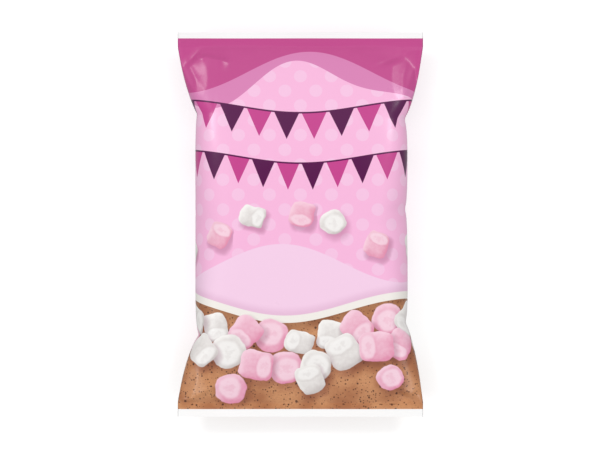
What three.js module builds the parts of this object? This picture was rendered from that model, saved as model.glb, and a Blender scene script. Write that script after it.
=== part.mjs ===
// A filled pillow pack of marshmallows, lying on its back: one tube of printed film, closed by a
// flat seal at each end. Millimetres; X runs across the pack, Y towards its top seal and Z up.
// The origin is on the table, under the middle of the pack.

import * as THREE from "three";

// The flat film
const FILM_WIDTH = 160; // across an end seal
const LENGTH = 250.6; // from one cut edge to the other
const SEAL_DEPTH = 9; // each end seal, along Y
const SEAL_THICKNESS = 0.6;
const SEAL_CURL = 1.2; // how far a seal's cut edge lifts

// The filled body
const BODY_WIDTH = 138.6; // between the pinches
const BODY_SHIFT = 0.7; // the filling pushes the body this far towards +X
const SEAM_HEIGHT = 20; // of the end seals, above the table
const TOP_RISE = 23.2; // of the shown panel, above the seals
const BASE_DROP = 24; // of the other panel, below the seals, as if there were no table
const TOP_BEND = 2.1; // a larger bend keeps a panel full for longer, then steeper at the seals
const BASE_BEND = 2.5;
const BASE_ROUNDING = 0.8; // where the base leaves the table

// Sections across the body: a larger power is flatter across, with a sharper side
const MIDDLE_POWER = 3.8;
const END_POWER = 14.8;
const FLARE_POWER = 1.4; // how the sides run out from a pinch to the corner

// The pinches where the sides buckle: side, place along Y, depth, and reach along Y
const CORNER_PINCHES = [
  { side: -1, y: 72, depth: 1.3, reach: 9 },
  { side: 1, y: 69, depth: 2.2, reach: 7 },
  { side: -1, y: -72, depth: 2.2, reach: 8 },
  { side: 1, y: -64, depth: 1.6, reach: 7 },
];
const SIDE_PINCH = { side: 1, y: 10, depth: 1.3, reach: 5 };
const PINCHES = [...CORNER_PINCHES, SIDE_PINCH];
const PINCH_DRAW = 1.6; // how much deeper a pinch is off the side's outline than on it
const PINCH_TUCK = 0.75; // a pinch starts at this share of the half width

// The folds that run in from the corners over the shown panel: where one starts, below the seal,
// where it ends, its height and half its breadth
const CORNER_FOLDS = [
  { from: [-74, 113], to: [-56, 84], height: 1.1, breadth: 5 },
  { from: [75, 113], to: [58, 88], height: 1.5, breadth: 5.5 },
  { from: [-75, -113], to: [-52, -94], height: 1.2, breadth: 5.5 },
  { from: [75, -113], to: [57, -95], height: 1.1, breadth: 5 },
];
const FOLD_FADE = 0.4; // the share of a fold's length over which each of its ends fades

// The mesh
const ROUND_STEPS = 68; // round the tube, half of them on each panel
const LONG_STEPS = 62;
const STEP_SPREAD = 0.3; // 0 is even; more gathers the rows towards the seals

const TUBE_HALF = LENGTH / 2 - SEAL_DEPTH;
const clamp01 = (value) => Math.min(1, Math.max(0, value));
const smooth = (value) => value * value * (3 - 2 * value);

// 0 in the middle of the tube, 1 at the seals.
function endShare(y) {
  return clamp01(Math.abs(y) / TUBE_HALF);
}

// How far the pinches on one side pull its outline in at y.
function pinchDepth(side, y) {
  return PINCHES.filter((pinch) => pinch.side === side).reduce(
    (sum, pinch) => sum + pinch.depth * Math.exp(-Math.abs(y - pinch.y) / pinch.reach),
    0,
  );
}

// Half the pack's width at y, on the side -1 or 1.
function halfWidth(side, y) {
  const corner = CORNER_PINCHES.find((pinch) => pinch.side === side && pinch.y * y >= 0);
  const start = Math.abs(corner.y);
  const flare = clamp01((Math.abs(y) - start) / (TUBE_HALF - start));
  const run = 1 - (1 - flare) ** FLARE_POWER;
  const body = BODY_WIDTH / 2 + side * BODY_SHIFT;
  return body + (FILM_WIDTH / 2 - body) * run - pinchDepth(side, y) * (1 - run);
}

// The share of a panel's full height that it has at a share of the half width.
function crown(across, y) {
  const power = MIDDLE_POWER + (END_POWER - MIDDLE_POWER) * endShare(y);
  return Math.sqrt(Math.max(0, 1 - Math.abs(across) ** power));
}

// 0 below -rounding, the height itself above rounding, and a smooth bend between.
function restOnTable(height, rounding) {
  if (height >= rounding) return height;
  if (height <= -rounding) return 0;
  return (height + rounding) ** 2 / (4 * rounding);
}

// How far the corner folds lift the shown panel at a point.
function foldHeight(x, y) {
  return CORNER_FOLDS.reduce((sum, fold) => {
    const run = [fold.to[0] - fold.from[0], fold.to[1] - fold.from[1]];
    const offset = [x - fold.from[0], y - fold.from[1]];
    const length = Math.hypot(...run);
    const along = (offset[0] * run[0] + offset[1] * run[1]) / length ** 2;
    const aside = (offset[0] * run[1] - offset[1] * run[0]) / length;
    const fade = smooth(clamp01(Math.min(along, 1 - along) / FOLD_FADE));
    return sum + fold.height * fade * Math.exp(-((aside / fold.breadth) ** 2));
  }, 0);
}

// The film's place at a share of the half width, at y, on the shown panel or on the base.
function filmPoint(across, y, shown) {
  const side = across < 0 ? -1 : 1;
  const level = crown(across, y);
  const tuck = smooth(clamp01((Math.abs(across) - PINCH_TUCK) / (1 - PINCH_TUCK)));
  const draw = PINCH_DRAW * pinchDepth(side, y) * tuck * level * (1 - endShare(y));
  const x = across * halfWidth(side, y) - side * draw;

  const bend = shown ? TOP_BEND : BASE_BEND;
  const full = (shown ? TOP_RISE : BASE_DROP) * (1 - endShare(y) ** bend);
  const rise = (SEAL_THICKNESS / 2 + full) * level;
  const z = shown
    ? SEAM_HEIGHT + rise + foldHeight(x, y) * level
    : restOnTable(SEAM_HEIGHT - rise, BASE_ROUNDING);
  const curl = SEAL_CURL * (Math.max(0, Math.abs(y) - TUBE_HALF) / SEAL_DEPTH) ** 2;
  return new THREE.Vector3(x, y, z + curl);
}

// A closed cylinder along Y, with each of its points moved to its place on the film.
function packGeometry() {
  const geometry = new THREE.CylinderGeometry(1, 1, 2, ROUND_STEPS, LONG_STEPS);
  const position = geometry.getAttribute("position");
  for (let i = 0; i < position.count; i++) {
    const [turnX, along, turnZ] = [position.getX(i), position.getY(i), position.getZ(i)];
    const inRim = Math.hypot(turnX, turnZ) > 0.5; // not the middle of an end cap
    const across = inRim ? turnX : 0;
    const y = (LENGTH / 2) * (along * (1 + STEP_SPREAD) - STEP_SPREAD * along ** 3);
    const shown = filmPoint(across, y, true);
    const base = filmPoint(across, y, false);
    const place = inRim ? (turnZ > 0 ? shown : base) : shown.lerp(base, 0.5);
    position.setXYZ(i, place.x, place.y, place.z);
  }
  geometry.deleteAttribute("uv");
  geometry.computeVertexNormals();
  return geometry;
}

const film = new THREE.MeshStandardMaterial({
  color: new THREE.Color(0xf5c1e3),
  roughness: 0.35,
  metalness: 0,
});

const pack = new THREE.Mesh(packGeometry(), film);
pack.name = "pack";

const group = new THREE.Group();
group.add(pack);

export default group;
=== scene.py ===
"""A filled pillow pack of marshmallows, lying on its back and seen from straight above.

The film is one mesh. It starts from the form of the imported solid, a cloth simulation lets it buckle
as film does, and creases and flat facets are pressed into its corners. A lap seam runs down its
back. The print is a shader of plain fields and simple shapes, drawn in the coordinates of the flat
film. Sizes are in millimetres, and MM turns them into metres.
"""

import math

import bpy
import numpy as np
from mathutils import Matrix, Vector


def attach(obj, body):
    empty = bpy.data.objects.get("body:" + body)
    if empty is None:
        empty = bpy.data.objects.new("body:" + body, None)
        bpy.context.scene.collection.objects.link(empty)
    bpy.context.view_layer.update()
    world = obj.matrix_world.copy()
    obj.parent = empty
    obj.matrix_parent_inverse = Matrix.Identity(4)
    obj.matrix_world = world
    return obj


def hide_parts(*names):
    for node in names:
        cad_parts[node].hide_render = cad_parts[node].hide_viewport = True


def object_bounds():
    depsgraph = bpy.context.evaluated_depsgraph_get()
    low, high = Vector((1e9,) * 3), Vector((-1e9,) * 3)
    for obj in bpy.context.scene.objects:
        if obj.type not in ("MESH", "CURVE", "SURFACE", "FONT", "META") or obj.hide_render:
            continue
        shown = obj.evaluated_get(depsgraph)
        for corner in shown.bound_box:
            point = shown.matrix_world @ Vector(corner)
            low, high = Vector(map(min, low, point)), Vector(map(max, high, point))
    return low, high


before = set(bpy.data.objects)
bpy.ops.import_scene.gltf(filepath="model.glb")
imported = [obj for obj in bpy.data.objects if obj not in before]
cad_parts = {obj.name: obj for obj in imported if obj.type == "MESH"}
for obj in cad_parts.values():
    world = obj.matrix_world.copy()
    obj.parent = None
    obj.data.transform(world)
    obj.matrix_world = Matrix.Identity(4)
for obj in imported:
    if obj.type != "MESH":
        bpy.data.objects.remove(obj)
cad_low, cad_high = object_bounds()

MM = 0.001

# ---------------------------------------------------------------- sizes

# The flat film
FILM_WIDTH = (cad_high.x - cad_low.x) / MM  # across an end seal
LENGTH = (cad_high.y - cad_low.y) / MM  # from one cut edge to the other
SEAL_DEPTH = 9.0  # each end seal, along Y
SEAL_THICKNESS = 0.4
SEAL_CURL = 1.2  # how far a seal's cut edge lifts
TUBE_HALF = LENGTH / 2 - SEAL_DEPTH

# The filled body
BODY_WIDTH = 138.6  # between the pinches
BODY_SHIFT = 0.7  # the filling pushes the body this far towards +X
SEAM_HEIGHT = 20.0  # of the end seals, above the table
TOP_RISE = 23.2  # of the shown panel, above the seals
BASE_DROP = 24.0  # of the other panel, below the seals, as if there were no table
TOP_BEND = 2.1  # a larger bend keeps a panel full for longer, then steeper at the seals
BASE_BEND = 2.5
BASE_ROUNDING = 0.8  # where the base leaves the table

# Sections across the body: a larger power is flatter across, with a sharper side
MIDDLE_POWER = 3.8
END_POWER = 14.8
FLARE_POWER = 1.4  # how the sides run out from a pinch to the corner

# The pinches where the sides buckle: side, place along Y, depth, and reach along Y
CORNER_PINCHES = ((-1, 72, 1.3, 9), (1, 69, 2.2, 7), (-1, -72, 2.2, 8), (1, -64, 1.6, 7))
SIDE_PINCH = (1, 10, 1.3, 5)
PINCHES = (*CORNER_PINCHES, SIDE_PINCH)
PINCH_DRAW = 1.6  # how much deeper a pinch is off the side's outline than on it
PINCH_TUCK = 0.75  # a pinch starts at this share of the half width

# The film as a flat tube. The cloth is a coarse net, and the film's own net is twice as fine.
FLAT_HALF = 121.0  # half the tube's length between its seals, longer than the filled tube's
FLAT_SPREAD = 1.008  # the film's width, against the form's, before it is filled
DRAWN_POWER = 4  # a larger power draws the film together closer to the sides
SECTION_POINTS = 601  # from which the length of a section is worked out
CLOTH_STEP = 2.0
CLOTH_PANEL = round(FILM_WIDTH / CLOTH_STEP)
CLOTH_RING = 2 * CLOTH_PANEL
CLOTH_LONG = round(2 * FLAT_HALF / CLOTH_STEP)
PANEL = 2 * CLOTH_PANEL  # steps across each panel of the film
RING = 2 * PANEL
SEAL_ROWS = 24  # in each seal

# ---------------------------------------------------------------- form of the filled film


def clamp01(value):
    return np.clip(value, 0, 1)


def smooth(value):
    return value * value * (3 - 2 * value)


def end_share(y):
    """0 in the middle of the tube, 1 at the seals."""
    return clamp01(np.abs(y) / TUBE_HALF)


def pinch_depth(side, y):
    """How far the pinches on one side pull its outline in."""
    total = np.zeros(np.shape(y))
    for at, place, depth, reach in PINCHES:
        total += np.where(side == at, depth * np.exp(-np.abs(y - place) / reach), 0)
    return total


def half_width(side, y):
    """Half the pack's width, on the side -1 or 1."""
    start = np.zeros(np.shape(y))
    for at, place, _, _ in CORNER_PINCHES:
        start += np.where((side == at) & (y * place >= 0), abs(place), 0)
    start = np.where(y == 0, abs(CORNER_PINCHES[0][1]), start)
    flare = clamp01((np.abs(y) - start) / (TUBE_HALF - start))
    run = 1 - (1 - flare) ** FLARE_POWER
    body = BODY_WIDTH / 2 + side * BODY_SHIFT
    return body + (FILM_WIDTH / 2 - body) * run - pinch_depth(side, y) * (1 - run)


def crown(across, y):
    """The share of a panel's full height that it has at a share of the half width."""
    power = MIDDLE_POWER + (END_POWER - MIDDLE_POWER) * end_share(y)
    return np.sqrt(np.maximum(0, 1 - np.abs(across) ** power))


def rest_on_table(height):
    """0 below the table, the height itself above it, and a smooth bend between."""
    bend = (height + BASE_ROUNDING) ** 2 / (4 * BASE_ROUNDING)
    return np.where(height >= BASE_ROUNDING, height, np.where(height <= -BASE_ROUNDING, 0, bend))


def film_point(across, y, shown):
    """The film's place at a share of the half width, on the shown panel or on the base."""
    side = np.where(across < 0, -1, 1)
    level = crown(across, y)
    tuck = smooth(clamp01((np.abs(across) - PINCH_TUCK) / (1 - PINCH_TUCK)))
    draw = PINCH_DRAW * pinch_depth(side, y) * tuck * level * (1 - end_share(y))
    x = across * half_width(side, y) - side * draw
    if shown:
        z = SEAM_HEIGHT + TOP_RISE * (1 - end_share(y) ** TOP_BEND) * level
    else:
        z = rest_on_table(SEAM_HEIGHT - BASE_DROP * (1 - end_share(y) ** BASE_BEND) * level)
    return np.stack([x, y, z], -1)


def panel_row(y, shown):
    """The points of one panel of the cloth at y.

    Where the form is too small for the film, the film is drawn together at the sides and not in
    the middle.
    """
    turn = np.linspace(-math.pi / 2, math.pi / 2, SECTION_POINTS)
    fine = film_point(np.sin(turn), np.full_like(turn, y), shown)
    gone = np.concatenate([[0], np.cumsum(np.linalg.norm(np.diff(fine, axis=0), axis=1))])
    gone -= gone[len(gone) // 2]
    share = np.linspace(-1, 1, CLOTH_PANEL + 1)
    room = np.where(share < 0, -gone[0], gone[-1]) / (FILM_WIDTH / 2) - 1
    place = share * FILM_WIDTH / 2 * (1 + room * share**DRAWN_POWER)
    across = np.interp(place, gone, np.sin(turn))
    return film_point(across, np.full_like(across, y), shown)


def tube_rows():
    """The filled tube's points and the same points on the flat film, row by row round the tube."""
    filled, flat = [], []
    for v in np.linspace(-FLAT_HALF, FLAT_HALF, CLOTH_LONG + 1):
        y = v * TUBE_HALF / FLAT_HALF
        base = panel_row(y, False)
        filled.append(np.concatenate([panel_row(y, True), base[::-1][1:-1]]))
        x = np.linspace(-1, 1, CLOTH_PANEL + 1) * FLAT_SPREAD * FILM_WIDTH / 2
        x = np.concatenate([x, x[::-1][1:-1]])
        flat.append(np.stack([x, np.full_like(x, v), np.zeros_like(x)], -1))
    return np.array(filled), np.array(flat)


def ring_faces(rows, ring):
    """Quads between rows of points that each run once round a tube."""
    faces = []
    for j in range(rows - 1):
        for i in range(ring):
            a, b = j * ring + i, j * ring + (i + 1) % ring
            faces.append((a, b, b + ring, a + ring))
    return faces


# ---------------------------------------------------------------- cloth

CLOTH_SCALE = 0.1  # the cloth is worked out in centimetres, as if they were metres
CLOTH_FRAMES = 24
CLOTH_GAP = 0.02
CLOTH_FLOOR = 40  # half the width of its table


def cloth_floor(scene):
    """A table for the cloth to lie on."""
    mesh = bpy.data.meshes.new("cloth floor")
    corners = ((-1, -1), (1, -1), (1, 1), (-1, 1))
    points = [(x * CLOTH_FLOOR, y * CLOTH_FLOOR, -CLOTH_GAP) for x, y in corners]
    mesh.from_pydata(points, [], [(0, 1, 2, 3)])
    obj = bpy.data.objects.new("cloth floor", mesh)
    scene.collection.objects.link(obj)
    obj.modifiers.new("collision", "COLLISION")
    obj.collision.thickness_outer = CLOTH_GAP
    obj.collision.cloth_friction = 5
    return obj


def set_cloth(obj, flat_key):
    """A stiff, thin film with a little air pressure inside, held at both ends."""
    modifier = obj.modifiers.new("cloth", "CLOTH")
    film = modifier.settings
    film.rest_shape_key = flat_key
    film.quality = 8
    film.mass = 0.3
    film.tension_stiffness = film.compression_stiffness = 2000
    film.shear_stiffness = 1500
    film.bending_stiffness = 0.05
    film.tension_damping = film.compression_damping = film.shear_damping = 25
    film.bending_damping = 1
    film.bending_model = "ANGULAR"
    film.vertex_group_mass = "held"
    film.use_pressure = True
    film.uniform_pressure_force = 0.8
    film.effector_weights.gravity = 0
    modifier.collision_settings.use_self_collision = False
    modifier.collision_settings.distance_min = CLOTH_GAP
    modifier.collision_settings.collision_quality = 3
    modifier.point_cache.frame_start = 1
    modifier.point_cache.frame_end = CLOTH_FRAMES


def vertex_places(mesh):
    numbers = np.empty(len(mesh.vertices) * 3, np.float32)
    mesh.vertices.foreach_get("co", numbers)
    return numbers.reshape(-1, 3).astype(float)


def buckled(filled, flat):
    """The filled tube after the film has settled, in millimetres."""
    scene = bpy.context.scene
    mesh = bpy.data.meshes.new("cloth")
    points = (filled.reshape(-1, 3) * CLOTH_SCALE).tolist()
    mesh.from_pydata(points, [], ring_faces(len(filled), CLOTH_RING))
    obj = bpy.data.objects.new("cloth", mesh)
    scene.collection.objects.link(obj)
    obj.shape_key_add(name="filled")
    key = obj.shape_key_add(name="flat")
    key.data.foreach_set("co", (flat * CLOTH_SCALE).astype(np.float32).ravel())
    key.value = 0
    held = obj.vertex_groups.new(name="held")
    last = len(points) - CLOTH_RING
    held.add([*range(CLOTH_RING), *range(last, len(points))], 1.0, "REPLACE")
    table = cloth_floor(scene)
    set_cloth(obj, key)

    scene.frame_start, scene.frame_end = 1, CLOTH_FRAMES
    for number in range(1, CLOTH_FRAMES + 1):
        scene.frame_set(number)
    settled = obj.evaluated_get(bpy.context.evaluated_depsgraph_get())
    places = vertex_places(settled.data) / CLOTH_SCALE
    for done in (obj, table):
        data = done.data
        bpy.data.objects.remove(done)
        bpy.data.meshes.remove(data)
    scene.frame_set(1)
    return places.reshape(filled.shape)


# ---------------------------------------------------------------- the finer net

SMOOTHINGS = 3
SMOOTH_SHARE = 0.4
SMOOTH_CLEAR = 12  # how far from the seals the smoothing is full


def between(before, start, end, after):
    """The point halfway from start to end, on a smooth curve through all four."""
    return (9 * (start + end) - before - after) / 16


def interleaved(points, middles, axis):
    """Each point with its middle after it, along one axis of the net."""
    shape = list(points.shape)
    shape[axis] *= 2
    return np.stack([points, middles], axis + 1).reshape(shape)


def finer(points):
    """The same net with twice the steps along it and round it."""
    after = [np.roll(points, -n, axis=1) for n in (-1, 1, 2)]
    points = interleaved(points, between(after[0], points, after[1], after[2]), 1)
    first, last = 2 * points[:1] - points[1:2], 2 * points[-1:] - points[-2:-1]
    padded = np.concatenate([first, points, last])
    middles = between(padded[:-3], padded[1:-2], padded[2:-1], padded[3:])
    return np.concatenate([interleaved(points[:-1], middles, 0), points[-1:]])


def smoothed(points):
    """Takes the net's finest ripples out, but not from the folds at the seals."""
    weight = SMOOTH_SHARE * smooth(clear_of_seal(points[1:-1, :, 1], SMOOTH_CLEAR))[..., None]
    for _ in range(SMOOTHINGS):
        around = (np.roll(points, 1, axis=1) + np.roll(points, -1, axis=1))[1:-1]
        mean = (around + points[:-2] + points[2:]) / 4
        points[1:-1] += weight * (mean - points[1:-1])
    return points


# ---------------------------------------------------------------- relief

SHOWN, BASE = 1, -1

# The creases: the panel, the path, the height, and the reach to the path's left and to its right
CREASES = (
    (SHOWN, ((71, 109), (67, 98), (66, 80)), 0.8, 2.8, 5.0),
    (SHOWN, ((82, 121), (65, 109.5), (44, 103)), 1.8, 2.2, 7.0),
    (SHOWN, ((-83, 119), (-74, 107), (-68, 94), (-67, 80)), 0.8, 4.0, 2.2),
    (SHOWN, ((-72, 106), (-62, 109), (-44, 105)), 2.2, 2.4, 7.0),
    (SHOWN, ((-83, -121), (-68, -112), (-50, -101.5)), 2.8, 9.0, 3.0),
    (SHOWN, ((76, -113), (68, -108), (60, -105)), 1.8, 2.8, 5.5),
    (BASE, ((79, 119), (67, 108), (57, 96)), 1.2, 5.0, 3.0),
    (BASE, ((-79, 119), (-70, 105), (-62, 95)), 1.0, 3.0, 6.0),
    (BASE, ((79, -119), (66, -109), (53, -101)), 1.1, 6.0, 3.0),
    (BASE, ((-79, -119), (-68, -106), (-59, -96)), 1.3, 3.0, 5.0),
)
CREASE_FADE = 0.3  # the share of a crease over which each of its ends fades

# Lines across the shown panel's corners, past which the film mostly rises: the line, the side of it
# that stays flatter (1 is its left), how flat that side is, and how soon the film rises past it
FACETS = (
    (((81, 121), (65, 109.5), (46, 102)), -1, 0.6, 4.5),
    (((-62, 119), (-70, 109), (-79, 100)), -1, 0.55, 3.5),
    (((82, -121), (69, -112), (60, -106.5)), 1, 0.9, 3.0),
)
FACET_FADE = 0.45  # the share of a line over which its inner end fades

# The planes that hold the shown panel down near its corners, where the film is drawn flat: a place
# on one, its height above the seals there, and how steeply it falls to the side and to the seal
PLANES = (
    (-67, 98, 6.0, 0.34, 0.22),
    (-60, 108, 4.2, 0.22, 0.3),
    (62, 102, 5.1, 0.32, 0.32),
    (72, 98, 3.6, 0.8, 0.15),
    (-70, -102, 4.6, 0.34, 0.26),
)
PLANE_LEAST = 0.25  # the share of its rise that the film keeps under any plane

SHOULDER_HEIGHT = 1.5  # the shown panel rises steeply from each seal
SHOULDER_REACH = 5.0
SHOULDER_POWER = 6  # a larger power keeps it up closer to the sides
SHOULDER_UNEVENNESS = 0.25
SHOULDER_WAVES = 4, 30, 80  # how many waves, and their shortest and longest length
GATHER_HEIGHT = 0.16  # of the short wrinkles that run in from the seals
GATHER_PLACE = 4.0  # where they are highest, from the seal
GATHER_WAVES = 6, 8, 26
SWELL_HEIGHT = 0.09  # of the soft swells all over the film
SWELL_WAVES = 12, 18, 44

RELIEF_CLEAR = 7  # how far from the seals the wrinkles and swells are full
CREASE_CLEAR = 3  # how far from them the creases are
PLIES_CLEAR = 6  # how far into the tube the thickness of the seals fades out
SIDE_STEPS = 4  # of the film's net, over which the relief fades to nothing at the sides


def clear_of_seal(y, width):
    """0 at a seal, 1 from this width away."""
    return clamp01((TUBE_HALF - np.abs(y)) / width)


def beside_path(path, x, y):
    """How far along a path its nearest point is, 0 to 1, and how far off, positive on its left."""
    nearest = np.full(np.shape(x), np.inf)
    along, aside = np.zeros(np.shape(x)), np.zeros(np.shape(x))
    gone = 0
    for start, end in zip(path, path[1:]):
        length = math.dist(start, end)
        run = np.subtract(end, start) / length
        off_x, off_y = x - start[0], y - start[1]
        ahead = np.clip(off_x * run[0] + off_y * run[1], 0, length)
        left = run[0] * off_y - run[1] * off_x
        distance = np.hypot(off_x - ahead * run[0], off_y - ahead * run[1])
        closer = distance < nearest
        nearest = np.where(closer, distance, nearest)
        along = np.where(closer, gone + ahead, along)
        aside = np.where(closer, np.copysign(distance, left), aside)
        gone += length
    return along / gone, aside


def crease_height(panel, x, y):
    """How high the creases stand, each a sharp ridge that falls away on both sides."""
    total = np.zeros(np.shape(x))
    for at, path, height, left_reach, right_reach in CREASES:
        if at != panel:
            continue
        along, aside = beside_path(path, x, y)
        fade = smooth(clamp01(np.minimum(along, 1 - along) / CREASE_FADE))
        reach = np.where(aside > 0, left_reach, right_reach)
        total += height * fade * np.exp(-np.abs(aside) / reach)
    return total


def facet_share(x, y):
    """How much of its rise above the seals the shown panel keeps."""
    kept = np.ones(np.shape(x))
    for path, side, flatness, run_out in FACETS:
        along, aside = beside_path(path, x, y)
        risen = clamp01(-side * aside / run_out)
        fade = smooth(clamp01((1 - along) / FACET_FADE))
        kept *= 1 - flatness * fade * (1 - risen) ** 2
    return kept


def under_planes(rise, x, y):
    """What is left of the shown panel's rise above the seals, where a plane holds it down."""
    held = rise
    for at_x, at_y, height, to_side, to_seal in PLANES:
        plane = height - to_side * (np.abs(x) - abs(at_x)) - to_seal * (np.abs(y) - abs(at_y))
        held = np.where((x * at_x > 0) & (y * at_y > 0), np.minimum(held, plane), held)
    return np.maximum(held, np.minimum(rise, PLANE_LEAST * rise))


def ripples(places, seed, count, shortest, longest):
    """A sum of waves of random length and phase, mostly within -1 to 1, along each place given."""
    draw = np.random.default_rng(seed)
    total = np.zeros(np.shape(places[0]))
    for _ in range(count):
        angle = draw.uniform(0, math.pi) if len(places) > 1 else 0
        length = draw.uniform(shortest, longest)
        shares = (math.cos(angle), math.sin(angle))
        along = sum(share * place for share, place in zip(shares, places))
        total += np.sin(2 * math.pi * (along / length + draw.uniform(0, 1)))
    return total / math.sqrt(count)


def gather_height(panel, x, y):
    """Short wrinkles that run in from each seal."""
    distance = (TUBE_HALF - np.abs(y)) / GATHER_PLACE
    near = distance * np.exp(1 - distance)
    low, top = (ripples((x,), 20 + panel + 5 * end, *GATHER_WAVES) for end in (0, 1))
    return GATHER_HEIGHT * near * np.where(y > 0, top, low)


def shoulder_height(x, y):
    """The shown panel rises steeply from its seals, and not everywhere alike."""
    top, low = (ripples((x,), seed, *SHOULDER_WAVES) for seed in (40, 41))
    uneven = 1 + SHOULDER_UNEVENNESS * np.where(y > 0, top, low)
    rise = 1 - np.exp(-np.maximum(TUBE_HALF - np.abs(y), 0) / SHOULDER_REACH)
    level = 1 - (x / (FILM_WIDTH / 2)) ** SHOULDER_POWER
    return SHOULDER_HEIGHT * uneven * rise * end_share(y) ** 2 * level


def press_relief(tube):
    """Adds to the settled film what its coarse net can't hold."""
    columns = np.arange(RING)
    from_side = np.minimum(columns % PANEL, PANEL - columns % PANEL)
    taper = smooth(clamp01(from_side / SIDE_STEPS))
    for panel, part in ((SHOWN, slice(1, PANEL)), (BASE, slice(PANEL + 1, RING))):
        x, y = tube[:, part, 0], tube[:, part, 1]
        lift = gather_height(panel, x, y)
        lift += SWELL_HEIGHT * ripples((x, y), 30 + panel, *SWELL_WAVES)
        lift *= smooth(clear_of_seal(y, RELIEF_CLEAR))
        lift += crease_height(panel, x, y) * smooth(clear_of_seal(y, CREASE_CLEAR))
        if panel == SHOWN:
            rise = tube[:, part, 2] - SEAM_HEIGHT
            lift += shoulder_height(x, y) + under_planes(rise, x, y) - rise
        tube[:, part, 2] += panel * lift * taper[part]
        if panel == SHOWN:
            rise = tube[:, part, 2] - SEAM_HEIGHT
            tube[:, part, 2] -= np.maximum(rise, 0) * (1 - facet_share(x, y))
    plies = np.where(columns < PANEL, SHOWN, BASE) * (from_side > 0)
    closing = 1 - smooth(clear_of_seal(tube[..., 1], PLIES_CLEAR))
    tube[..., 2] += plies * closing * SEAL_THICKNESS / 2


# ---------------------------------------------------------------- film mesh

RIB_HEIGHT = 0.05  # of the crimped lines across a seal
RIB_PITCH = 1.5
SEAL_WAVE = 0.7  # how far a seal's cut edge waves up and down
SEAL_WAVE_LENGTH = 92
SEAL_WAVE_TURN = 1.1  # in radians, the other way at the other end

# The lap seam, where the film's own two edges are sealed together and folded flat
LAP_START = -0.5
LAP_WIDTH = 10.0
LAP_THICKNESS = 0.3
LAP_GAP = 0.02  # under the film
LAP_STEPS = 6  # across it
LAP_EASE = 4.0  # how far beside the seam the film is lifted


def seal_rows(edge_row, end):
    """The rows of one seal, from the tube outwards, for the end -1 or 1."""
    columns = np.arange(RING)
    plies = np.where(columns < PANEL, SHOWN, BASE) * (columns % PANEL > 0)
    rows = []
    for share in np.arange(1, SEAL_ROWS + 1) / SEAL_ROWS:
        row = edge_row.copy()
        out = SEAL_DEPTH * share
        row[:, 1] = end * (TUBE_HALF + out)
        rib = RIB_HEIGHT * math.sin(2 * math.pi * out / RIB_PITCH)
        turn = row[:, 0] * 2 * math.pi / SEAL_WAVE_LENGTH + SEAL_WAVE_TURN * end
        wave = SEAL_WAVE * share * np.sin(turn)
        row[:, 2] = SEAM_HEIGHT + SEAL_CURL * share**2 + wave + rib + plies * SEAL_THICKNESS / 2
        rows.append(row)
    return rows


def lift_over_lap(tube):
    """Where the base lies on the table, the lap seam lies between them."""
    base = tube[:, PANEL + 1 :]
    x = base[..., 0]
    beside = np.maximum(LAP_START - x, x - LAP_START - LAP_WIDTH)
    share = smooth(clamp01(1 - beside / LAP_EASE))
    base[..., 2] = np.maximum(base[..., 2], (LAP_THICKNESS + 2 * LAP_GAP) * share)


def film_rows():
    """Every row of the film, from one cut edge to the other, and its place on the flat film."""
    filled, flat = tube_rows()
    tube = smoothed(finer(buckled(filled, flat)))
    press_relief(tube)
    lift_over_lap(tube)
    rows = [*seal_rows(tube[0], -1)[::-1], *tube, *seal_rows(tube[-1], 1)]
    seal_v = np.arange(1, SEAL_ROWS + 1) * SEAL_DEPTH / SEAL_ROWS
    tube_v = np.linspace(-FLAT_HALF, FLAT_HALF, len(tube))
    return np.array(rows), np.concatenate([-FLAT_HALF - seal_v[::-1], tube_v, FLAT_HALF + seal_v])


def end_faces(first, steps, end):
    """Closes one end of a flattened tube, between its two plies, for the end -1 or 1."""
    ring = 2 * steps
    faces = []
    for i in range(steps):
        corners = [i, i + 1, ring - i - 1, (ring - i) % ring]
        face = [first + corner for corner in dict.fromkeys(corners)]
        faces.append(face if end > 0 else face[::-1])
    return faces


def closed_mesh(name, rows, steps):
    """A flattened tube with both ends closed. Its long faces come before its end faces."""
    mesh = bpy.data.meshes.new(name)
    last = (len(rows) - 1) * 2 * steps
    ends = end_faces(0, steps, -1) + end_faces(last, steps, 1)
    faces = ring_faces(len(rows), 2 * steps) + ends
    mesh.from_pydata((rows.reshape(-1, 3) * MM).tolist(), [], faces)
    mesh.polygons.foreach_set("use_smooth", [True] * len(mesh.polygons))
    pairs = np.empty(len(mesh.edges) * 2, np.int64)
    mesh.edges.foreach_get("vertices", pairs)
    pairs = pairs.reshape(-1, 2)
    at_end = (pairs < 2 * steps).all(1) | (pairs >= last).all(1)
    mesh.attributes.new("sharp_edge", "BOOLEAN", "EDGE").data.foreach_set("value", at_end)
    return mesh


def set_map(mesh, name, x, y):
    layer = mesh.uv_layers.new(name=name)
    layer.data.foreach_set("uv", np.stack([x, y], -1).astype(np.float32).ravel())


def loop_vertices(mesh):
    loops = np.empty(len(mesh.loops), np.int64)
    mesh.loops.foreach_get("vertex_index", loops)
    return loops


END_SHARE = 0.006  # of the unit map, for each row of end faces
END_EDGES = 0.2, 0.8  # the share of it at which such a face starts and ends


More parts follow.
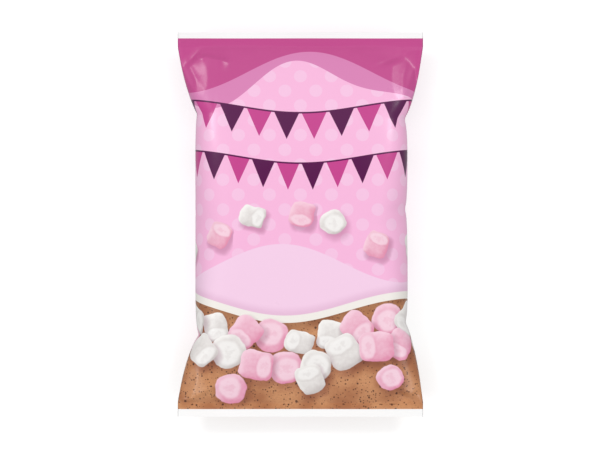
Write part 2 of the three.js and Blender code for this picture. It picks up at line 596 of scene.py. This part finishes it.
def film_maps(mesh, rows_v):
    """One map in millimetres of flat film for the print, and the same one in a unit square.

    The film is cut open down the middle of its base, and laid flat with the shown panel in the
    middle.
    """
    loops = loop_vertices(mesh)
    row, column = loops // RING, loops % RING
    long_loops = 4 * RING * (len(rows_v) - 1)
    starts = np.repeat(column[:long_loops:4], 4)
    starts = np.concatenate([starts, np.zeros(len(loops) - long_loops, np.int64)])
    turned = np.where((starts == RING - 1) & (column == 0), RING, column)
    u = (turned / PANEL - 0.5) * FILM_WIDTH
    cut = 3 * PANEL // 2
    u = np.where(starts >= cut, u - 2 * FILM_WIDTH, u)
    v = rows_v[row]
    set_map(mesh, "film", u, v)

    across = u / (2 * FILM_WIDTH) + 0.5
    along = END_SHARE + (1 - 2 * END_SHARE) * (v - rows_v[0]) / (rows_v[-1] - rows_v[0])
    in_end = np.arange(len(loops)) >= long_loops
    end_across = np.minimum(column, RING - column) / PANEL
    in_upper = (column > 0) & (column < PANEL)
    end_along = END_SHARE * np.where(in_upper, END_EDGES[1], END_EDGES[0])
    end_along = np.where(row == 0, end_along, 1 - end_along)
    across = np.where(in_end, end_across, across)
    set_map(mesh, "OFBake", across, np.where(in_end, end_along, along))


def new_piece(name, mesh, material):
    mesh.materials.append(material)
    piece = bpy.data.objects.new(name, mesh)
    bpy.context.scene.collection.objects.link(piece)
    return piece


def film_piece(rows, rows_v, material):
    mesh = closed_mesh("film", rows, PANEL)
    film_maps(mesh, rows_v)
    return new_piece("film", mesh, material)


def lap_piece(rows, rows_v, material):
    """The seam follows the base, just under it, from one cut edge to the other."""
    x = np.linspace(LAP_START, LAP_START + LAP_WIDTH, LAP_STEPS + 1)
    lap_rows = []
    for row in rows:
        base = row[PANEL + 1 :][::-1]
        middle = np.interp(x, base[:, 0], base[:, 2]) - LAP_GAP - LAP_THICKNESS / 2
        y = np.interp(x, base[:, 0], base[:, 1])
        thickness = np.where((x > x[0]) & (x < x[-1]), LAP_THICKNESS, 0)
        upper, lower = (np.stack([x, y, middle + part * thickness], -1) for part in (0.5, -0.5))
        lap_rows.append(np.concatenate([upper, lower[::-1][1:-1]]))
    mesh = closed_mesh("back seam", np.array(lap_rows), LAP_STEPS)
    loops = loop_vertices(mesh)
    column = loops % (2 * LAP_STEPS)
    place = x[np.minimum(column, 2 * LAP_STEPS - column)]
    set_map(mesh, "film", FILM_WIDTH - place, rows_v[loops // (2 * LAP_STEPS)])
    return new_piece("back_seam", mesh, material)


# ---------------------------------------------------------------- print


def linear(red, green, blue):
    """A colour of 0 to 255 in a shader's own units."""
    parts = [value / 255 for value in (red, green, blue)]
    parts = [x / 12.92 if x <= 0.04045 else ((x + 0.055) / 1.055) ** 2.4 for x in parts]
    return (*parts, 1)


PALE_PINK = linear(248, 185, 222)
DOT_PINK = linear(247, 197, 228)
PALEST_PINK = linear(246, 208, 234)
MID_PINK = linear(217, 130, 182)
DEEP_ROSE = linear(195, 76, 142)
PLUM = linear(86, 2, 74)
ROSE = linear(198, 66, 142)
SHADE = linear(206, 150, 186)
CREAM = linear(243, 238, 232)
COCOA = linear(208, 148, 103)
DARK_COCOA = linear(170, 108, 70)
COCOA_RIM = linear(112, 64, 40)
SPECK = linear(70, 36, 22)
SWEET_SHADOW = linear(176, 136, 156)
BARE_FILM = linear(250, 250, 250)

FULL_TURN = 2 * math.pi
EDGE = 0.15  # half the width over which one printed colour gives way to the next


class Paint:
    """Adds nodes to one shader tree, and returns what each gives."""

    def __init__(self, tree):
        self.tree = tree

    def node(self, kind, values=(), **settings):
        """A new node, with a value or a socket for each of the inputs named or numbered."""
        node = self.tree.nodes.new("ShaderNode" + kind)
        for name, setting in settings.items():
            setattr(node, name, setting)
        for name, value in dict(values).items():
            self.set(node.inputs[name], value)
        return node

    def set(self, socket, value):
        if isinstance(value, bpy.types.NodeSocket):
            self.tree.links.new(value, socket)
        else:
            socket.default_value = value

    def math(self, operation, *values):
        return self.node("Math", enumerate(values), operation=operation).outputs[0]

    def vector(self, operation, *values):
        node = self.node("VectorMath", enumerate(values), operation=operation)
        single = operation in ("DOT_PRODUCT", "LENGTH", "DISTANCE")
        return node.outputs["Value" if single else "Vector"]

    def split(self, vector):
        return self.node("SeparateXYZ", {0: vector}).outputs

    def step(self, value, low, high, least=0.0, most=1.0):
        """The least at low, the most at high, smooth between. low may be greater than high."""
        span = {"From Min": low, "From Max": high, "To Min": least, "To Max": most}
        values = {"Value": value, **span}
        return self.node("MapRange", values, interpolation_type="SMOOTHSTEP").outputs[0]

    def mix(self, share, below, above, blend="MIX"):
        """The colour below with a share of the one above. The node's colours are 6, 7 and 2."""
        node = self.node("Mix", {0: share, 6: below, 7: above}, data_type="RGBA", blend_type=blend)
        return node.outputs[2]

    def noise(self, place, scale, detail=2.0):
        return self.node("TexNoise", {"Vector": place, "Scale": scale, "Detail": detail}).outputs

    def wave(self, along, middle, height, length, shift=0.0):
        """middle + height * sin(2 pi (along - shift) / length)"""
        turn = self.math("MULTIPLY", self.math("SUBTRACT", along, shift), FULL_TURN / length)
        return self.math("MULTIPLY_ADD", self.math("SINE", turn), height, middle)


def above(paint, value, line):
    """1 where the value is above the line, 0 below it."""
    return paint.step(paint.math("SUBTRACT", value, line), -EDGE, EDGE)


def print_wave(paint, u, wave, length=FILM_WIDTH):
    """The height on the film of one of the waves named below."""
    middle, height, shift = wave
    return paint.wave(u, middle, height, length, shift)


DOT_PITCH, DOT_RADIUS = 20.0, 4.2


def polka_dots(paint, place, colour):
    """Faint dots on a staggered grid."""
    half = DOT_PITCH / 2
    for shift in ((0, 0, 0), (half, half, 0)):
        moved = paint.vector("ADD", place, shift)
        cell = paint.vector("WRAP", moved, (half, half, 1), (-half, -half, -1))
        dot = paint.step(paint.vector("LENGTH", cell), DOT_RADIUS + EDGE, DOT_RADIUS - EDGE)
        colour = paint.mix(dot, colour, DOT_PINK)
    return colour


# Waves across the print, each with its middle, its height and its shift
DEEP_SWAG = (103, 14, -34)  # the deep rose lies above it
SWAG_DROP = (10, 5, 12)  # how much further down the mid pink goes
PALE_EDGE = (-26, 13, -52)  # the palest field lies below it
COCOA_EDGE = (-58, 8, 30)
LOW_LINE = (-108, 2, 0)  # along which the lowest marshmallows lie


def top_waves(paint, u, v, colour):
    """Two swags of deeper pink, deepest at the pack's upper corners."""
    deep = print_wave(paint, u, DEEP_SWAG)
    middle = paint.math("SUBTRACT", deep, print_wave(paint, u, SWAG_DROP, FILM_WIDTH / 2))
    colour = paint.mix(above(paint, v, middle), colour, MID_PINK)
    return paint.mix(above(paint, v, deep), colour, DEEP_ROSE)


# The strings of flags: how high on the film one hangs, its flags to a panel, and the colours of the
# odd and the even ones
STRINGS = (
    (84, 9, PLUM, ROSE),
    (50, 10, ROSE, PLUM),
)
FLAG_HEIGHT = 18.0
FLAG_HALF = 0.46  # half a flag's width along the string, as a share of the pitch
STRING_SAG = 9.0
STRING_HALF = 0.55  # half its thickness


def bunting(paint, u, v, colour, top, flags, odd, even):
    """A row of three-cornered flags that hang from a sagging string."""
    turn = paint.math("MULTIPLY", u, FULL_TURN / FILM_WIDTH)
    sag = paint.math("MULTIPLY_ADD", paint.math("COSINE", turn), STRING_SAG / 2, STRING_SAG / 2)
    drop = paint.math("SUBTRACT", paint.math("SUBTRACT", top, sag), v)
    pitch = FILM_WIDTH / flags
    count = paint.math("DIVIDE", u, pitch)
    aside = paint.math("ABSOLUTE", paint.math("SUBTRACT", paint.math("FRACT", count), 0.5))
    half = paint.math("MULTIPLY_ADD", drop, -FLAG_HALF / FLAG_HEIGHT, FLAG_HALF)
    inside = paint.math("MULTIPLY", paint.math("SUBTRACT", half, aside), pitch)
    flag = paint.math("MULTIPLY", paint.step(inside, -EDGE, EDGE), paint.step(drop, -EDGE, EDGE))
    parity = paint.math("FLOORED_MODULO", paint.math("FLOOR", count), 2)
    colour = paint.mix(flag, colour, paint.mix(parity, even, odd))
    string = paint.step(paint.math("ABSOLUTE", drop), STRING_HALF + EDGE, STRING_HALF - EDGE)
    return paint.mix(string, colour, PLUM)


SPECK_EDGE = 0.03, -0.08  # from a speck's outline, in cells of its net


def specks(paint, place, scale, share, size):
    """Round specks of uneven size, in some of the cells of a random net."""
    cells = paint.node("TexVoronoi", {"Vector": place, "Scale": scale}).outputs
    red, green, _ = paint.node("SeparateColor", {0: cells["Color"]}).outputs
    held = paint.math("LESS_THAN", green, share)
    radius = paint.math("MULTIPLY", held, paint.math("MULTIPLY", red, size))
    return paint.step(paint.math("SUBTRACT", cells["Distance"], radius), *SPECK_EDGE)


def cocoa_colour(paint, place):
    """Froth: soft light and dark patches, a fine mottle, and dark specks of two sizes."""
    patches = paint.noise(place, 0.05, detail=4.0)[0]
    colour = paint.mix(paint.step(patches, 0.34, 0.66), DARK_COCOA, COCOA)
    mottle = paint.step(paint.noise(place, 0.8, detail=3.0)[0], 0.35, 0.65)
    colour = paint.mix(paint.math("MULTIPLY", mottle, 0.3), colour, DARK_COCOA)
    fine = specks(paint, place, scale=0.75, share=0.7, size=0.46)
    fine = paint.math("MULTIPLY", fine, 0.8)
    coarse = specks(paint, place, scale=0.4, share=0.35, size=0.36)
    coarse = paint.math("MULTIPLY", coarse, 0.9)
    return paint.mix(paint.math("MAXIMUM", fine, coarse), colour, SPECK)


CREAM_BAND = 5.0  # above the cocoa
BAND_SHADOW_REACH, BAND_SHADOW_DEPTH = 7.0, 0.35  # above the cream band
RIM_REACH, RIM_DEPTH = 9.0, 0.45  # of the darker cocoa under it


def lower_waves(paint, place, u, v, colour):
    """A palest field, a cream band and the cocoa under it."""
    colour = paint.mix(above(paint, print_wave(paint, u, PALE_EDGE), v), colour, PALEST_PINK)
    below = paint.math("SUBTRACT", print_wave(paint, u, COCOA_EDGE), v)
    shadow = paint.step(below, -CREAM_BAND - BAND_SHADOW_REACH, -CREAM_BAND)
    colour = paint.mix(paint.math("MULTIPLY", shadow, BAND_SHADOW_DEPTH), colour, SHADE)
    colour = paint.mix(paint.step(below, -CREAM_BAND - EDGE, -CREAM_BAND + EDGE), colour, CREAM)
    rim = paint.math("MULTIPLY", paint.step(below, RIM_REACH, 0.0), RIM_DEPTH)
    cocoa = paint.mix(rim, cocoa_colour(paint, place), COCOA_RIM)
    return paint.mix(paint.step(below, -EDGE, EDGE), colour, cocoa)


# ---------------------------------------------------------------- printed marshmallows

# Lit, shaded and end colours
WHITE_SWEET = (linear(249, 246, 243), linear(204, 196, 194), linear(252, 250, 248))
PINK_SWEET = (linear(249, 208, 224), linear(226, 140, 172), linear(251, 222, 234))
LIGHT_FROM = (-0.55, 0.83, 0)

LEAST_LENGTH, LENGTH_SPREAD = 0.88, 0.24  # of a half length, as shares of its row's mean
LEAST_BREADTH, BREADTH_SPREAD = 0.84, 0.12  # seen from the side, as shares of the length
END_ON_SHARE = 0.25  # of the marshmallows are seen from one end, and the others from the side
SIDE_SQUARENESS, END_SQUARENESS = 3.8, 2.3  # a larger power is closer to a rectangle
OUTLINE_EDGE = 1.08, 0.92  # over which a marshmallow gives way to what is round it

# The pale end face of one seen from the side and of one seen from its end, in its half length and
# half breadth: where its middle is, and how many times smaller it is than the whole
FACE_MIDDLES = ((0.46, 0), (0.1, 0.06))
FACE_SHRINKS = ((2.15, 1.14), (1.3, 1.3))
FACE_RING_EDGE, FACE_RING_DEPTH = (1.35, 1.0), 0.22  # the shade round it
FACE_EDGE, FACE_DEPTH = (1.1, 0.75), 0.7
DIMPLE_EDGE, DIMPLE_DEPTH = (0.55, 0.1), 0.22  # the shade in its middle
SHADED_EDGE = -0.9, 0.8  # over which a marshmallow's shaded side turns into its lit side
LIGHT_GRAIN, DIMPLE_GRAIN = 0.7, 1.6  # how much a mottle shifts the shading and the dimple

SHADOW_FALL = (1.6, -2.6, 0)
SHADOW_SPREAD = (1.18, 1.18, 1)
SHADOW_EDGE, SHADOW_DEPTH = (1.5, 0.1), 0.55

# Rows of marshmallows, the hindmost first: the wave that they follow, how far below it, the pitch
# and shift along it, the mean half length, and how far one may lie from its place
SWEET_ROWS = (
    (COCOA_EDGE, 11, 38, 0, 10.6, 5),
    (COCOA_EDGE, 12, 38, 19, 10.2, 5),
    (COCOA_EDGE, 28, 38, 9, 10.8, 6),
    (COCOA_EDGE, 29, 38, 28, 10.4, 6),
    (PALE_EDGE, -22, 27, 11, 8.8, 8),
    (LOW_LINE, 0, 52, 30, 9.2, 8),
)


def sweet_row(paint, place, grain, colour, seed, row):
    """Prints a row of marshmallows over the colour, each with its own place, turn and size."""
    (middle, height, wave_shift), drop, pitch, shift, size, stray = row
    u = paint.split(place)[0]
    index = paint.math("FLOOR", paint.math("DIVIDE", paint.math("SUBTRACT", u, shift), pitch))

    def draws(number):
        """Three numbers from 0 to 1 for each marshmallow."""
        key = paint.math("ADD", index, 100 * seed + 10 * number)
        noise = paint.node("TexWhiteNoise", {"W": key}, noise_dimensions="1D")
        return paint.split(noise.outputs["Color"])

    aside, turn, kind = draws(1)
    fall, length, breadth = draws(2)
    angle = paint.math("MULTIPLY", turn, FULL_TURN)
    end_on = paint.math("LESS_THAN", kind, END_ON_SHARE)

    def unless_end_on(side_on, otherwise):
        return paint.math("MULTIPLY_ADD", end_on, otherwise - side_on, side_on)

    def both_ways(choices):
        """A vector along and across the marshmallow, by how it is seen."""
        along, across = (unless_end_on(*choice) for choice in zip(*choices))
        return paint.node("CombineXYZ", {0: along, 1: across}).outputs[0]

    start = paint.math("MULTIPLY_ADD", aside, stray, shift + (pitch - stray) / 2)
    along = paint.math("MULTIPLY_ADD", index, pitch, start)
    down = paint.wave(along, middle - drop - stray / 2, height, FILM_WIDTH, wave_shift)
    down = paint.math("MULTIPLY_ADD", fall, stray, down)
    at = paint.node("CombineXYZ", {0: along, 1: down}).outputs[0]
    half_length = paint.math("MULTIPLY_ADD", length, LENGTH_SPREAD * size, LEAST_LENGTH * size)
    slim = paint.math("MULTIPLY_ADD", breadth, BREADTH_SPREAD, LEAST_BREADTH)
    slim = paint.math("MAXIMUM", slim, end_on)
    half_breadth = paint.math("MULTIPLY", half_length, slim)
    half = paint.node("CombineXYZ", {0: half_length, 1: half_breadth}).outputs[0]

    def turned(vector, by):
        values = {"Vector": vector, "Angle": by}
        return paint.node("VectorRotate", values, rotation_type="Z_AXIS").outputs[0]

    def from_middle(vector):
        """1 on the outline, less inside it."""
        squareness = unless_end_on(SIDE_SQUARENESS, END_SQUARENESS)
        x, y, _ = paint.split(paint.vector("ABSOLUTE", vector))
        return paint.math("ADD", *(paint.math("POWER", side, squareness) for side in (x, y)))

    away = paint.vector("SUBTRACT", place, at)
    fallen = turned(paint.vector("SUBTRACT", away, SHADOW_FALL), angle)
    fallen = paint.vector("DIVIDE", fallen, paint.vector("MULTIPLY", half, SHADOW_SPREAD))
    shadow = paint.math("MULTIPLY", paint.step(from_middle(fallen), *SHADOW_EDGE), SHADOW_DEPTH)
    colour = paint.mix(shadow, colour, SWEET_SHADOW, "MULTIPLY")

    lit, shaded, end_colour = (
        paint.mix(paint.math("FLOORED_MODULO", paint.math("ADD", index, seed), 2), white, pink)
        for white, pink in zip(WHITE_SWEET, PINK_SWEET)
    )
    inside = paint.vector("DIVIDE", turned(away, angle), half)
    cube = paint.vector("MULTIPLY", paint.vector("MULTIPLY", inside, inside), inside)
    back = turned(cube, paint.math("MULTIPLY", angle, -1))
    facing = paint.vector("DOT_PRODUCT", back, LIGHT_FROM)
    facing = paint.math("MULTIPLY_ADD", grain, LIGHT_GRAIN, facing)
    sweet = paint.mix(paint.step(facing, *SHADED_EDGE), shaded, lit)

    middle_at, shrink = both_ways(FACE_MIDDLES), both_ways(FACE_SHRINKS)
    off = paint.vector("MULTIPLY", paint.vector("SUBTRACT", inside, middle_at), shrink)
    off = paint.vector("LENGTH", off)
    ring = paint.math("MULTIPLY", paint.step(off, *FACE_RING_EDGE), FACE_RING_DEPTH)
    sweet = paint.mix(ring, sweet, shaded)
    face = paint.math("MULTIPLY", paint.step(off, *FACE_EDGE), FACE_DEPTH)
    sweet = paint.mix(face, sweet, end_colour)
    dimple = paint.step(paint.math("MULTIPLY_ADD", grain, DIMPLE_GRAIN, off), *DIMPLE_EDGE)
    sweet = paint.mix(paint.math("MULTIPLY", dimple, DIMPLE_DEPTH), sweet, shaded)
    return paint.mix(paint.step(from_middle(inside), *OUTLINE_EDGE), colour, sweet)


# ---------------------------------------------------------------- film material

TOP_STRIP, LOW_STRIP = 3.9, 4.9  # the bare strips at the cut edges


def back_panels(paint, u, v, colour):
    """Two plain rounded panels on the back, one on each side of the lap seam."""
    middle_u, middle_v = 128, 6
    half_across, half_along, corner = 23.0, 62.0, 6.0
    aside = paint.math("SUBTRACT", paint.math("ABSOLUTE", u), middle_u)
    outside = []
    for place, half in ((aside, half_across), (paint.math("SUBTRACT", v, middle_v), half_along)):
        over = paint.math("SUBTRACT", paint.math("ABSOLUTE", place), half - corner)
        outside.append(paint.math("MAXIMUM", over, 0))
    away = paint.math("SQRT", paint.math("ADD", *(paint.math("MULTIPLY", x, x) for x in outside)))
    return paint.mix(paint.step(away, corner + EDGE, corner - EDGE), colour, CREAM)


def print_colour(paint, place):
    """The print, from the ground colour up."""
    u, v, _ = paint.split(place)
    colour = polka_dots(paint, place, PALE_PINK)
    colour = top_waves(paint, u, v, colour)
    for string in STRINGS:
        colour = bunting(paint, u, v, colour, *string)
    colour = lower_waves(paint, place, u, v, colour)
    colour = back_panels(paint, u, v, colour)

    # The marshmallows' outlines and shading are a little uneven
    shaken = paint.vector("SUBTRACT", paint.noise(place, 0.11)[1], (0.5, 0.5, 0.5))
    uneven = paint.vector("ADD", place, paint.vector("MULTIPLY", shaken, (3.6, 3.6, 0)))
    grain = paint.math("SUBTRACT", paint.noise(place, 0.35, detail=3.0)[0], 0.5)
    for seed, row in enumerate(SWEET_ROWS):
        colour = sweet_row(paint, uneven, grain, colour, seed, row)

    top_strip = above(paint, v, FLAT_HALF + SEAL_DEPTH - TOP_STRIP)
    low_strip = above(paint, LOW_STRIP - FLAT_HALF - SEAL_DEPTH, v)
    return paint.mix(paint.math("MAXIMUM", top_strip, low_strip), colour, BARE_FILM)


def film_material():
    """Printed film with a satin gloss that varies a little, over very faint wrinkles."""
    material = bpy.data.materials.new("printed film")
    material.use_nodes = True
    tree = material.node_tree
    paint = Paint(tree)
    shader = tree.nodes["Principled BSDF"]
    place = paint.node("UVMap", uv_map="film").outputs[0]
    paint.set(shader.inputs["Base Color"], print_colour(paint, place))

    handled = paint.noise(place, 0.04, detail=3.0)[0]
    paint.set(shader.inputs["Roughness"], paint.math("MULTIPLY_ADD", handled, 0.08, 0.25))
    shader.inputs["Specular IOR Level"].default_value = 0.38
    shader.inputs["Coat Weight"].default_value = 0.08
    shader.inputs["Coat Roughness"].default_value = 0.18

    wrinkles = paint.noise(place, 0.16, detail=4.0)[0]
    bump = paint.node("Bump", {"Strength": 0.35, "Distance": 0.3 * MM, "Height": wrinkles})
    paint.set(shader.inputs["Normal"], bump.outputs[0])
    return material


# ---------------------------------------------------------------- stage

PHOTO_WIDTH, PHOTO_HEIGHT = 600, 450
PHOTO_SCALE = 0.6525  # millimetres to a pixel, at the height of the seals
PHOTO_MIDDLE = (300.4, 224.5)  # the pixel that shows the pack's origin
CAMERA_DISTANCE = 1.6

# The stage is a wide, shallow dish, so that no horizon shows from low down
STAGE_RADIUS = 2.8
STAGE_BEND = 1.5
STAGE_WALL = 1.0
STAGE_SIDES = 128
GLOW_SPAN, GLOW_LEVELS = (0.0, 0.8), (0.4, 0.6)  # so that its wall is as pale as its floor
BEND_STEPS = 16


def stage_profile():
    """The radius and height of each ring of the stage, from its floor up."""
    profile = []
    for angle in np.linspace(0, math.pi / 2, BEND_STEPS + 1).tolist():
        radius = STAGE_RADIUS + STAGE_BEND * math.sin(angle)
        profile.append((radius, STAGE_BEND * (1 - math.cos(angle))))
    profile.append((STAGE_RADIUS + STAGE_BEND, STAGE_BEND + STAGE_WALL))
    return profile


def stage():
    """A pale ground that glows a little, so that it shows white."""
    profile = stage_profile()
    points = []
    for radius, height in profile:
        for side in range(STAGE_SIDES):
            turn = FULL_TURN * side / STAGE_SIDES
            points.append((radius * math.cos(turn), radius * math.sin(turn), height))
    faces = [face[::-1] for face in ring_faces(len(profile), STAGE_SIDES)]
    faces.append(tuple(range(STAGE_SIDES)))
    mesh = bpy.data.meshes.new("stage")
    mesh.from_pydata(points, [], faces)
    mesh.polygons.foreach_set("use_smooth", [True] * len(mesh.polygons))
    material = bpy.data.materials.new("pale stage")
    material.use_nodes = True
    shader = material.node_tree.nodes["Principled BSDF"]
    shader.inputs["Base Color"].default_value = (0.8, 0.8, 0.8, 1)
    shader.inputs["Roughness"].default_value = 0.9
    shader.inputs["Specular IOR Level"].default_value = 0.2
    shader.inputs["Emission Color"].default_value = (1, 1, 1, 1)
    paint = Paint(material.node_tree)
    height = paint.split(paint.node("TexCoord").outputs["Object"])[2]
    paint.set(shader.inputs["Emission Strength"], paint.step(height, *GLOW_SPAN, *GLOW_LEVELS))
    piece = new_piece("stage", mesh, material)
    piece.visible_diffuse = piece.visible_glossy = False  # it throws no light back at the pack


# Four soft lights, each off one of the pack's corners, under a sky that is brightest high up, with
# a dimmer patch right overhead, so that the flat film keeps its colour and its tilted facets shine
LIGHT_ACROSS, LIGHT_ALONG, LIGHT_UP = 2.0, 1.6, 2.6
LIGHT_SIZE = 0.8
LIGHTS = (
    ("far left", -1, 1, 25),
    ("far right", 1, 1, 22),
    ("near left", -1, -1, 13),
    ("near right", 1, -1, 10),
)
SKY_SPAN, SKY_LEVELS = (0.0, 0.85), (0.48, 0.8)
PATCH_SPAN, PATCH_DEPTH = (0.9, 0.985), 0.55


def area_light(name, place, watts):
    light = bpy.data.lights.new(name, "AREA")
    light.size = LIGHT_SIZE
    light.energy = watts
    obj = bpy.data.objects.new(name, light)
    obj.location = place
    obj.rotation_euler = (-Vector(place)).to_track_quat("-Z", "Y").to_euler()
    bpy.context.scene.collection.objects.link(obj)


def studio():
    """The sky and the lights."""
    scene = bpy.context.scene
    scene.view_settings.view_transform = "Standard"
    world = bpy.data.worlds.new("studio")
    world.use_nodes = True
    background = world.node_tree.nodes["Background"]
    background.inputs["Color"].default_value = (1, 1, 1, 1)
    paint = Paint(world.node_tree)
    up = paint.split(paint.node("TexCoord").outputs["Generated"])[2]
    sky = paint.step(up, *SKY_SPAN, *SKY_LEVELS)
    patch = paint.step(up, *PATCH_SPAN, 0, PATCH_DEPTH)
    paint.set(background.inputs["Strength"], paint.math("SUBTRACT", sky, patch))
    scene.world = world
    for name, across, along, watts in LIGHTS:
        area_light(name, (across * LIGHT_ACROSS, along * LIGHT_ALONG, LIGHT_UP), watts)


def camera():
    """Looks straight down, with the pack's top seal up."""
    data = bpy.data.cameras.new("camera")
    obj = bpy.data.objects.new("camera", data)
    bpy.context.scene.collection.objects.link(obj)
    frame_width = PHOTO_WIDTH * PHOTO_SCALE * MM
    data.sensor_width = 36
    data.lens = data.sensor_width * CAMERA_DISTANCE / frame_width
    aside = (PHOTO_WIDTH / 2 - PHOTO_MIDDLE[0]) * PHOTO_SCALE * MM
    along = (PHOTO_MIDDLE[1] - PHOTO_HEIGHT / 2) * PHOTO_SCALE * MM
    obj.location = (aside, along, SEAM_HEIGHT * MM + CAMERA_DISTANCE)
    bpy.context.scene.camera = obj


# ---------------------------------------------------------------- build

rows, rows_v = film_rows()
printed = film_material()
film = film_piece(rows, rows_v, printed)
back_seam = lap_piece(rows, rows_v, printed)
for piece in (film, back_seam):
    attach(piece, "root")
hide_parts("pack")
stage()
studio()
camera()

bpy.context.view_layer.update()
